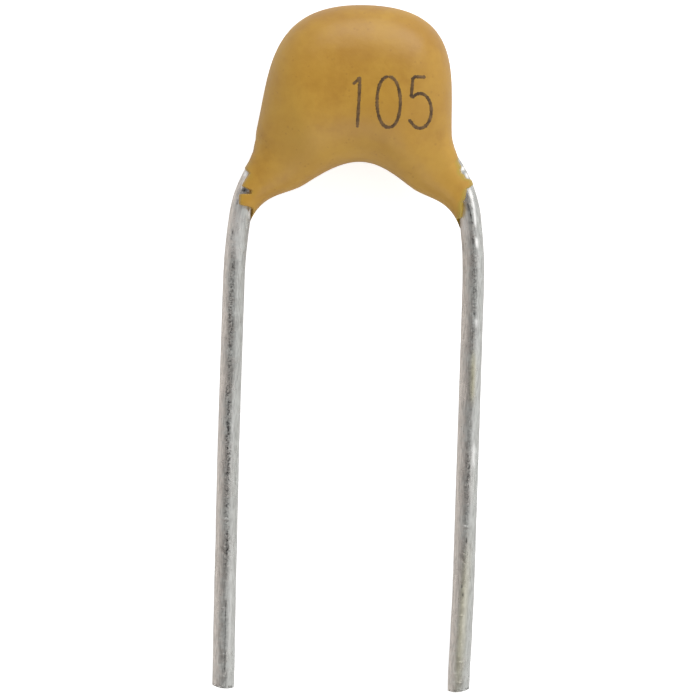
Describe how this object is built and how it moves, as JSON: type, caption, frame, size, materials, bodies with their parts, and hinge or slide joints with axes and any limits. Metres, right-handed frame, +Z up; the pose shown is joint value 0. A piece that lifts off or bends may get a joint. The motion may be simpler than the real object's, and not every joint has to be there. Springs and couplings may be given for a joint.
{
  "type": "multilayer ceramic capacitor",
  "caption": "Small radial-lead ceramic capacitor: a dip-coated chip with two flared tinned wire leads, lying on its back.",
  "frame": {"origin": "centre of the part's footprint, on the surface it lies on", "axes": "+X across the leads, +Y along them from the tips towards the coated body, +Z up, out of the part's front face"},
  "size_m": [0.0056, 0.0146, 0.0026],
  "materials": {
    "coating": "satin dipped epoxy",
    "ceramic": "fired ceramic",
    "termination": "matt plated tin",
    "solder": "dull solder",
    "wire": "tinned wire",
    "plate": "fired nickel"
  },
  "bodies": {
    "root": {"epoxy_coating": "coating", "ceramic_chip": "ceramic", "left_termination": "termination", "right_termination": "termination", "left_solder": "solder", "right_solder": "solder", "left_lead": "wire", "right_lead": "wire", "left_plate_1": "plate", "left_plate_2": "plate", "left_plate_3": "plate", "left_plate_4": "plate", "left_plate_5": "plate", "left_plate_6": "plate", "left_plate_7": "plate", "left_plate_8": "plate", "left_plate_9": "plate", "left_plate_10": "plate", "left_plate_11": "plate", "left_plate_12": "plate", "right_plate_1": "plate", "right_plate_2": "plate", "right_plate_3": "plate", "right_plate_4": "plate", "right_plate_5": "plate", "right_plate_6": "plate", "right_plate_7": "plate", "right_plate_8": "plate", "right_plate_9": "plate", "right_plate_10": "plate", "right_plate_11": "plate", "right_plate_12": "plate"}
  },
  "joints": []
}
